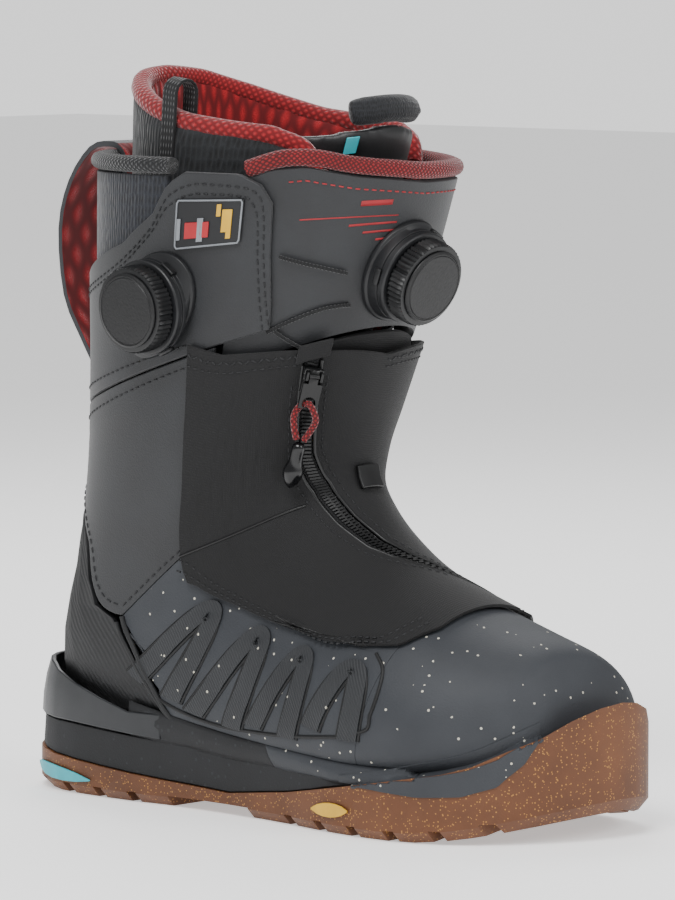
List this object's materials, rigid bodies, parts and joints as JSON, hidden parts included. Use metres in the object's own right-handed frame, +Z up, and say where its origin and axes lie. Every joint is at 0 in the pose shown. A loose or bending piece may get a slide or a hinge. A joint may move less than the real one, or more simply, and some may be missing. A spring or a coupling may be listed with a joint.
{
  "type": "snowboard boot",
  "caption": "Soft snowboard boot with a rubber toe and heel, a zipped gaiter over the instep, side and front lacing dials, a rear pull strap and a padded removable-style liner.",
  "frame": {"origin": "centre of the boot's box in plan, on the ground under the outsole", "axes": "+X towards the toe, +Y towards the inner side of the foot, +Z up the shaft"},
  "size_m": [0.297, 0.142, 0.3029],
  "materials": {
    "gum_rubber": "moulded gum-brown outsole rubber with gold flecks",
    "midsole_foam": "moulded dark grey foam with engraved waves",
    "lasting_board_fibre": "pressed fibre board, hidden under the liner",
    "grey_rubber": "moulded mid grey rubber with pale flecks and raised ribs",
    "counter_rubber": "ribbed dark heel counter rubber",
    "clip_plastic": "smooth grey moulded heel clip",
    "grey_leather": "matte dark grey synthetic leather, double stitched",
    "navy_mesh": "dark navy-grey knitted mesh",
    "rope_knit": "dark knitted rope binding",
    "red_knit": "red knitted binding and cord",
    "softshell": "black softshell cloth",
    "black_plastic": "black moulded plastic",
    "sleeve_plastic": "glossy black shrink sleeve",
    "badge_rubber": "moulded grey badge with red and yellow bars",
    "dial_plastic": "black glass-filled nylon",
    "dial_cap_plastic": "black finely textured cap",
    "spool_plastic": "dark grey acetal, hidden",
    "lace_braid": "thin braided black lace",
    "guide_plastic": "dark grey lace guide",
    "strap_leather": "grey synthetic leather strap, red inside",
    "liner_mesh": "black spacer mesh liner with red fleece lining",
    "tongue_leather": "black smooth synthetic leather",
    "pad_mesh": "black fine mesh pad",
    "loop_webbing": "black ribbed webbing",
    "tag_cloth": "turquoise woven tag",
    "footbed_foam": "cloth-topped foam footbed",
    "insert_rubber": "turquoise rubber insert",
    "lozenge_rubber": "yellow rubber lozenge"
  },
  "bodies": {
    "boot": {"outsole": "gum_rubber", "midsole": "midsole_foam", "lasting_board": "lasting_board_fibre", "rubber_lower": "grey_rubber", "heel_counter": "counter_rubber", "heel_clip": "clip_plastic", "quarter_lateral": "grey_leather", "quarter_medial": "grey_leather", "cuff_lateral": "grey_leather", "cuff_medial": "grey_leather", "mesh_gore": "navy_mesh", "collar_binding": "rope_knit", "front_binding": "red_knit", "instep_tongue": "softshell", "gaiter_lateral": "softshell", "gaiter_medial": "softshell", "zip_chain": "black_plastic", "zip_garage": "black_plastic", "gaiter_hook": "black_plastic", "side_badge": "badge_rubber", "lace_upper": "lace_braid", "lace_lower": "lace_braid", "lace_instep": "lace_braid", "lace_guide_lateral": "guide_plastic", "lace_guide_medial": "guide_plastic", "rear_strap": "strap_leather", "liner_foot": "liner_mesh", "liner_cuff": "liner_mesh", "liner_tongue": "tongue_leather", "tongue_pad": "pad_mesh", "liner_loop": "loop_webbing", "liner_tag": "tag_cloth", "footbed": "footbed_foam", "heel_insert": "insert_rubber", "sole_badge": "lozenge_rubber", "side_dial_base": "dial_plastic", "front_dial_base": "dial_plastic"},
    "side_carriage": {"side_dial_bushing": "spool_plastic"},
    "side_grip": {"side_dial_knob": "dial_plastic", "side_dial_cap": "dial_cap_plastic"},
    "side_spool": {"side_dial_spool": "spool_plastic"},
    "front_carriage": {"front_dial_bushing": "spool_plastic"},
    "front_grip": {"front_dial_knob": "dial_plastic", "front_dial_cap": "dial_cap_plastic"},
    "front_spool": {"front_dial_spool": "spool_plastic"},
    "slider": {"zip_slider": "black_plastic"},
    "zip_pull": {"zip_tab": "black_plastic", "pull_cord": "red_knit", "pull_sleeve": "sleeve_plastic"}
  },
  "joints": [
    {"name": "side_dial_pull", "type": "slide", "parent": "boot", "child": "side_carriage", "axis": [-0.0107, -0.9958, -0.0908], "range_m": [0, 0.003]},
    {"name": "side_dial_turn", "type": "hinge", "parent": "side_carriage", "child": "side_grip", "pos_m": [-0.03913, -0.05976, 0.20903], "axis": [-0.0107, -0.9958, -0.0908], "continuous": true},
    {"name": "side_spool_turn", "type": "hinge", "parent": "boot", "child": "side_spool", "pos_m": [-0.03913, -0.05976, 0.20903], "axis": [-0.0107, -0.9958, -0.0908], "continuous": true},
    {"name": "front_dial_pull", "type": "slide", "parent": "boot", "child": "front_carriage", "axis": [0.9427, -0.0169, -0.3331], "range_m": [0, 0.003]},
    {"name": "front_dial_turn", "type": "hinge", "parent": "front_carriage", "child": "front_grip", "pos_m": [0.05143, 0.00709, 0.22159], "axis": [0.9427, -0.0169, -0.3331], "continuous": true},
    {"name": "front_spool_turn", "type": "hinge", "parent": "boot", "child": "front_spool", "pos_m": [0.05143, 0.00709, 0.22159], "axis": [0.9427, -0.0169, -0.3331], "continuous": true},
    {"name": "zip_slide", "type": "slide", "parent": "boot", "child": "slider", "axis": [-0.3475, 0.0669, -0.9353], "range_m": [0, 0.028]},
    {"name": "zip_pull_swing", "type": "hinge", "parent": "slider", "child": "zip_pull", "pos_m": [0.02566, -0.02675, 0.18221], "axis": [-0.5442, -0.8267, 0.1431], "range_deg": [0, 40]}
  ],
  "couplings": [
    {"joint": "side_spool_turn", "follows": "side_dial_turn", "ratio": 1},
    {"joint": "front_spool_turn", "follows": "front_dial_turn", "ratio": 1},
    {"joint": "zip_pull_swing", "follows": "zip_slide", "rad_per_m": 24.9}
  ]
}
